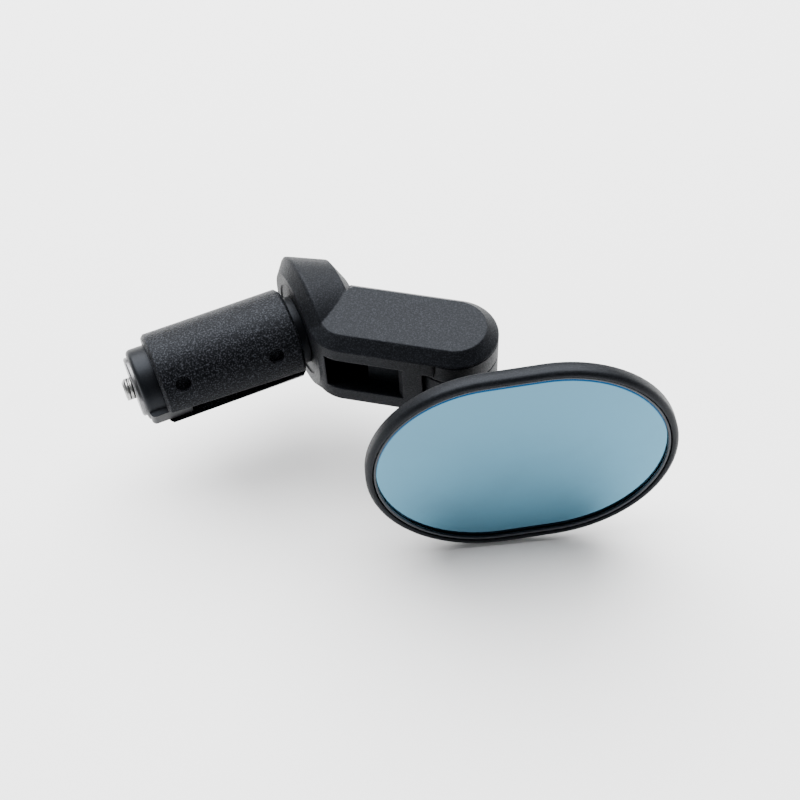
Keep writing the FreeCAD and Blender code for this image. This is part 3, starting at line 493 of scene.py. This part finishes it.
def makeGlass():
    look = {"curve": 1200 * mm, "chamfer": 0.28 * mm, "edgeBand": 1.90 * mm,
            "ringInside": 0.60 * mm, "edgeDepth": 1.25 * mm, "loops": 26,
            "bands": 16, "firstBand": 0.25, "bandStep": 0.05, "edgeFade": 0.15 * mm}
    extent = headExtent("mirror_glass")
    rim = extent["radius"]
    crown = extent["high"]

    def level(radius):
        return crown - (radius + extent["straight"] * 0.5) ** 2 / (2 * look["curve"])

    outline = [(rim * 0.5, extent["low"]), (rim - look["chamfer"], extent["low"]),
               (rim, extent["low"] + look["chamfer"]), (rim, level(rim) - look["chamfer"]),
               (rim - look["chamfer"], level(rim))]
    bands = [rim - look["edgeBand"] * (look["firstBand"] + look["bandStep"] * k)
             for k in range(look["bands"])]
    outline += [(radius, level(radius)) for radius in bands]
    last = bands[-1]
    for step in range(1, look["loops"]):
        radius = last * (1 - step / look["loops"])
        outline.append((radius, level(radius)))
    points, faces, count = sweepOval(extent, outline, closed=False)
    points.append(headPoint(extent["x"], extent["y"], crown))
    points.append(headPoint(extent["x"], extent["y"], extent["low"]))
    top = len(points) - 2
    start = (len(outline) - 1) * count
    for i in range(count):
        faces.append((start + i, start + (i + 1) % count, top))
        faces.append(((i + 1) % count, i, top + 1))
    item = finishPiece("mirrorGlass", points, faces, "mirror_glass", "head")
    edgeTintAndReflection = item.data.attributes.new("edge", "FLOAT", "POINT")
    rise = item.data.attributes.new("height", "FLOAT", "POINT")
    for i, point in enumerate(item.data.vertices):
        spot = point.co - ballCentre
        x = abs(spot.dot(across) - extent["x"])
        y = spot.dot(upward) - extent["y"]
        reach = math.hypot(max(0, x - extent["straight"]), y)
        # for the painted reflection gradient: 0 at the bottom of the glass, 1 at the top
        rise.data[i].value = 0.5 + 0.5 * y / rim
        # the cut edge shows as a deep blue tint, painted wider on the upper side as a painted edge reflection,
        # that fades out round the sides
        leaning = max(0.0, y) / max(reach, mm)
        start = rim - look["ringInside"] - look["edgeDepth"] * leaning
        edgeTintAndReflection.data[i].value = max(0.0, min(1.0, (reach - start) / look["edgeFade"]))
    return item


for item in (makeBezel(), makeRing(), makeGlass()):
    print("head piece:", item.name, len(item.data.polygons), "faces")


def threadTree():
    # a thread wound on the Z axis: a spiral swept with a three-sided section
    look = {"stepsPerTurn": 40, "sides": 3}
    tree = bpy.data.node_groups.new("veeThread", "GeometryNodeTree")
    sizes = {}
    for name, kind in (("turns", "NodeSocketFloat"), ("radius", "NodeSocketFloat"),
                       ("length", "NodeSocketFloat"), ("section", "NodeSocketFloat"),
                       ("finish", "NodeSocketMaterial")):
        made = tree.interface.new_socket(name, in_out="INPUT", socket_type=kind)
        sizes[name] = made.identifier
    tree.interface.new_socket("Geometry", in_out="OUTPUT", socket_type="NodeSocketGeometry")
    start = tree.nodes.new("NodeGroupInput")
    end = tree.nodes.new("NodeGroupOutput")
    spiral = tree.nodes.new("GeometryNodeCurveSpiral")
    spiral.inputs["Resolution"].default_value = look["stepsPerTurn"]
    normal = tree.nodes.new("GeometryNodeSetCurveNormal")
    normal.mode = "Z_UP"
    section = tree.nodes.new("GeometryNodeCurvePrimitiveCircle")
    section.inputs["Resolution"].default_value = look["sides"]
    sweep = tree.nodes.new("GeometryNodeCurveToMesh")
    sweep.inputs["Fill Caps"].default_value = True
    real = tree.nodes.new("GeometryNodeRealizeInstances")
    paint = tree.nodes.new("GeometryNodeSetMaterial")
    link = tree.links.new
    link(start.outputs["turns"], spiral.inputs["Rotations"])
    link(start.outputs["radius"], spiral.inputs["Start Radius"])
    link(start.outputs["radius"], spiral.inputs["End Radius"])
    link(start.outputs["length"], spiral.inputs["Height"])
    link(start.outputs["section"], section.inputs["Radius"])
    link(spiral.outputs["Curve"], normal.inputs["Curve"])
    link(normal.outputs["Curve"], sweep.inputs["Curve"])
    link(section.outputs["Curve"], sweep.inputs["Profile Curve"])
    link(sweep.outputs["Mesh"], real.inputs["Geometry"])
    link(real.outputs["Geometry"], paint.inputs["Geometry"])
    link(start.outputs["finish"], paint.inputs["Material"])
    link(paint.outputs["Geometry"], end.inputs["Geometry"])
    return tree, sizes


def windThread(name, values):
    # the thread as a plain mesh, standing on the Z axis
    tree, sizes = threadTree()
    mesh = bpy.data.meshes.new(name + "Seed")
    item = bpy.data.objects.new(name, mesh)
    bpy.context.scene.collection.objects.link(item)
    modifier = item.modifiers.new("thread", "NODES")
    modifier.node_group = tree
    for key, value in values.items():
        modifier[sizes[key]] = value
    graph = bpy.context.evaluated_depsgraph_get()
    wound = bpy.data.meshes.new_from_object(item.evaluated_get(graph))
    item.modifiers.remove(modifier)
    bpy.data.objects.remove(item)
    return wound


def lathe(outline, segments):
    # (along X, radius) outline turned about X
    points = []
    faces = []
    for along, radius in outline:
        for i in range(segments):
            turn = 2 * math.pi * i / segments
            points.append((along, radius * math.cos(turn), radius * math.sin(turn)))
    for row in range(len(outline) - 1):
        for i in range(segments):
            after = (i + 1) % segments
            low = row * segments
            high = low + segments
            faces.append((low + i, high + i, high + after, low + after))
    return points, faces


def makeBolt():
    look = {"root": 2.04 * mm, "crest": 2.47 * mm, "pitch": 0.8 * mm, "threadLength": 24 * mm,
            "headRadius": 4.25 * mm, "headLength": 5.0 * mm, "hexRadius": 2.31 * mm,
            "hexDepth": 2.6 * mm, "round": 0.35 * mm, "segments": 72, "tipCore": 0.02 * mm,
            "tipBevel": 0.45 * mm, "runOut": 0.4 * mm, "headBevel": 0.1 * mm, "mouth": 1.12,
            "mouthDepth": 0.25 * mm, "drillPoint": 0.4 * mm, "bareEnds": 0.9 * mm,
            "section": 0.50 * mm}
    low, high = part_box("expander_bolt")
    tip = low.x
    top = high.x
    seat = top - look["headLength"]
    shank = tip + look["threadLength"]
    rim = look["headRadius"]
    outline = [(tip, look["tipCore"]), (tip, look["root"] - look["tipBevel"]),
               (tip + look["tipBevel"], look["root"]), (shank, look["root"]),
               (shank + look["runOut"], look["crest"]), (seat, look["crest"]),
               (seat, rim - look["headBevel"]), (seat + look["headBevel"], rim)]
    outline += arc(top - look["round"], rim - look["round"], look["round"], 90, 0, 5)
    # the socket's round mouth is a little wider than the hexagon's corners
    outline.append((top, look["hexRadius"] * look["mouth"]))
    points, faces = lathe(outline, look["segments"])
    ring = len(points) - look["segments"]
    floor = top - look["hexDepth"]
    for depth in (top - look["mouthDepth"], floor):
        for i in range(look["segments"]):
            turn = 2 * math.pi * i / look["segments"]
            sector = turn % (math.pi / 3) - math.pi / 6
            reach = look["hexRadius"] * math.cos(math.pi / 6) / math.cos(sector)
            points.append((depth, reach * math.cos(turn), reach * math.sin(turn)))
    for row in range(2):
        base = ring + row * look["segments"]
        for i in range(look["segments"]):
            after = (i + 1) % look["segments"]
            faces.append((base + i, base + look["segments"] + i,
                          base + look["segments"] + after, base + after))
    points.append((floor - look["drillPoint"], 0, 0))
    base = ring + 2 * look["segments"]
    for i in range(look["segments"]):
        faces.append((base + i, len(points) - 1, base + (i + 1) % look["segments"]))
    points.append((tip, 0, 0))
    for i in range(look["segments"]):
        faces.append((i, (i + 1) % look["segments"], len(points) - 1))
    # a known fault: these faces point inwards
    item = finishPiece("expanderBolt", points, faces, "expander_bolt", "bolt")
    turns = (look["threadLength"] - look["bareEnds"]) / look["pitch"]
    # the section lies with a flat side outwards, which keeps the thread 0.25 mm under the crest
    thread = windThread("boltThread", {
        "turns": turns, "radius": look["crest"] - look["section"], "length": turns * look["pitch"],
        "section": look["section"], "finish": finishes["zinc_steel"]})
    start = Matrix.Translation((tip + look["tipBevel"], 0, 0))
    thread.transform(start @ Matrix.Rotation(math.pi / 2, 4, "Y"))
    helix = bpy.data.objects.new("boltThread", thread)
    bpy.context.scene.collection.objects.link(helix)
    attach(helix, "bolt")
    print("bolt:", len(item.data.polygons), "faces, thread", len(thread.polygons), "faces")


makeBolt()


def makeFloor():
    look = {"gap": 0.4 * mm, "halfSize": 3.0}
    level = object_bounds()[0][2] - look["gap"]
    size = look["halfSize"]
    mesh = bpy.data.meshes.new("floor")
    mesh.from_pydata([(-size, -size, level), (size, -size, level), (size, size, level),
                      (-size, size, level)], [], [(0, 1, 2, 3)])
    mesh.materials.append(paleFloor())
    item = bpy.data.objects.new("floor", mesh)
    bpy.context.scene.collection.objects.link(item)


def areaLight(name, place, aim, size, power):
    lamp = bpy.data.lights.new(name, "AREA")
    lamp.shape = "RECTANGLE"
    lamp.size, lamp.size_y = size
    lamp.energy = power
    item = bpy.data.objects.new(name, lamp)
    item.location = place
    item.rotation_euler = (Vector(place) - Vector(aim)).to_track_quat("Z", "Y").to_euler()
    bpy.context.scene.collection.objects.link(item)


def makeLight():
    look = {"sky": 0.26, "skyTint": (0.95, 0.975, 1.0, 1), "aim": (0.015, -0.02, 0),
            "overhead": {"place": (0.20, 0.62, 1.05), "size": (2.2, 1.5), "power": 128.0},
            "side": {"place": (-1.0, 0.1, 0.55), "size": (0.6, 0.5), "power": 0.5}}
    for name in ("overhead", "side"):
        lamp = look[name]
        areaLight(name, lamp["place"], look["aim"], lamp["size"], lamp["power"])
    world = bpy.data.worlds.new("studio")
    world.use_nodes = True
    backdrop = world.node_tree.nodes["Background"]
    backdrop.inputs["Color"].default_value = look["skyTint"]
    backdrop.inputs["Strength"].default_value = look["sky"]
    bpy.context.scene.world = world


def makeCamera():
    look = {"aim": (14.4 * mm, -19.2 * mm, -9.6 * mm), "azimuth": -21.3, "elevation": 53.0,
            "roll": -3.2, "distance": 260.25 * mm, "lens": 56.25,
            "sensor": 36, "clipStart": 10 * mm}
    turn = math.radians(look["azimuth"])
    rise = math.radians(look["elevation"])
    back = Vector((math.sin(turn) * math.cos(rise), -math.cos(turn) * math.cos(rise), math.sin(rise)))
    right = Vector((math.cos(turn), math.sin(turn), 0))
    upright = back.cross(right)
    lean = Matrix((right, upright, back)).transposed() @ Matrix.Rotation(math.radians(look["roll"]), 3, "Z")
    lens = bpy.data.cameras.new("camera")
    lens.lens = look["lens"]
    lens.sensor_width = look["sensor"]
    lens.clip_start = look["clipStart"]
    item = bpy.data.objects.new("camera", lens)
    item.matrix_world = Matrix.Translation(Vector(look["aim"]) + back * look["distance"]) @ lean.to_4x4()
    bpy.context.scene.collection.objects.link(item)
    bpy.context.scene.camera = item


makeFloor()
makeLight()
makeCamera()
print("stage set")
